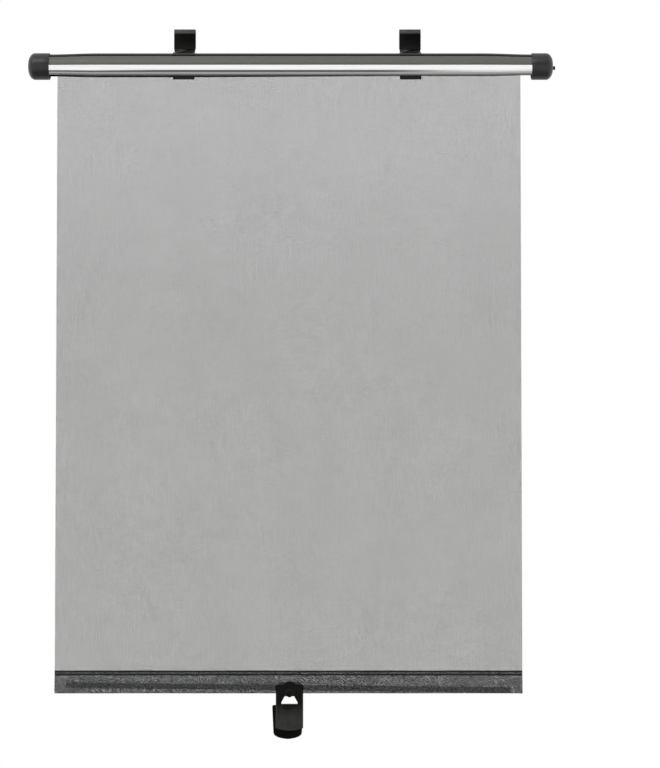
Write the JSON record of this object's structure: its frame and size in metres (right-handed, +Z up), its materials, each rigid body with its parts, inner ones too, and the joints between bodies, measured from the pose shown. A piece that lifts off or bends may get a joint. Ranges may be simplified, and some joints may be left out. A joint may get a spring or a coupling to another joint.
{
  "type": "car side window sunshade",
  "caption": "Spring roller blind that hooks over a car door's window glass: mesh screen drawn down by a pull tab, wound up by a release button.",
  "frame": {"origin": "top edge of the window glass that the two hooks hang on, at the middle of the cassette's length and of the glass's thickness", "axes": "+Z up, +X to the right along the cassette towards the release button, seen from the cabin; +Y from the cabin out through the glass"},
  "size_m": [0.455, 0.0322, 0.6123],
  "materials": {
    "black_shell": "satin black moulded plastic",
    "grey_cover": "dark grey satin plastic",
    "bright_trim": "bright polished strip",
    "black_cap": "semi-gloss black moulded plastic",
    "black_hook": "satin black moulded plastic",
    "tube_metal": "plain drawn tube",
    "nylon": "natural moulded nylon",
    "spring_steel": "drawn spring wire",
    "screen_mesh": "open black knitted mesh",
    "hem_mesh": "folded and sewn black mesh",
    "bar_plastic": "dark extruded strip",
    "black_tab": "satin black moulded plastic",
    "rivet_plastic": "black moulded rivet"
  },
  "bodies": {
    "cassette": {"housing_shell": "black_shell", "front_cover": "grey_cover", "chrome_trim": "bright_trim", "end_cap_left": "black_cap", "end_cap_right": "black_cap", "window_hook_left": "black_hook", "window_hook_right": "black_hook"},
    "roller": {"roller_tube": "tube_metal", "roller_plug_left": "nylon", "roller_plug_right": "nylon", "spring_anchor": "nylon", "torsion_spring": "spring_steel", "fabric_spline": "nylon", "fabric_roll": "screen_mesh"},
    "release": {"release_button": "black_cap", "spring_arbor": "spring_steel", "brake_disc": "nylon", "button_spring": "spring_steel"},
    "blind": {"fabric_screen": "screen_mesh", "fabric_hem": "hem_mesh", "bottom_bar": "bar_plastic", "pull_tab_front": "black_tab", "pull_tab_back": "black_tab", "tab_rivet": "rivet_plastic"}
  },
  "joints": [
    {"name": "blind_draw", "type": "slide", "parent": "cassette", "child": "blind", "axis": [0, 0, 1], "range_m": [0, 0.5065], "deforming": ["fabric_screen"]},
    {"name": "roller_spin", "type": "hinge", "parent": "cassette", "child": "roller", "pos_m": [0, -0.0145, -0.034], "axis": [1, 0, 0], "range_deg": [-4240, 0]},
    {"name": "button_press", "type": "slide", "parent": "cassette", "child": "release", "axis": [-1, 0, 0], "range_m": [0, 0.0015], "stiffness_N_per_m": 400, "springref_m": -0.0025, "deforming": ["button_spring"]}
  ],
  "couplings": [
    {"joint": "roller_spin", "follows": "blind_draw", "rad_per_m": -145.5}
  ]
}
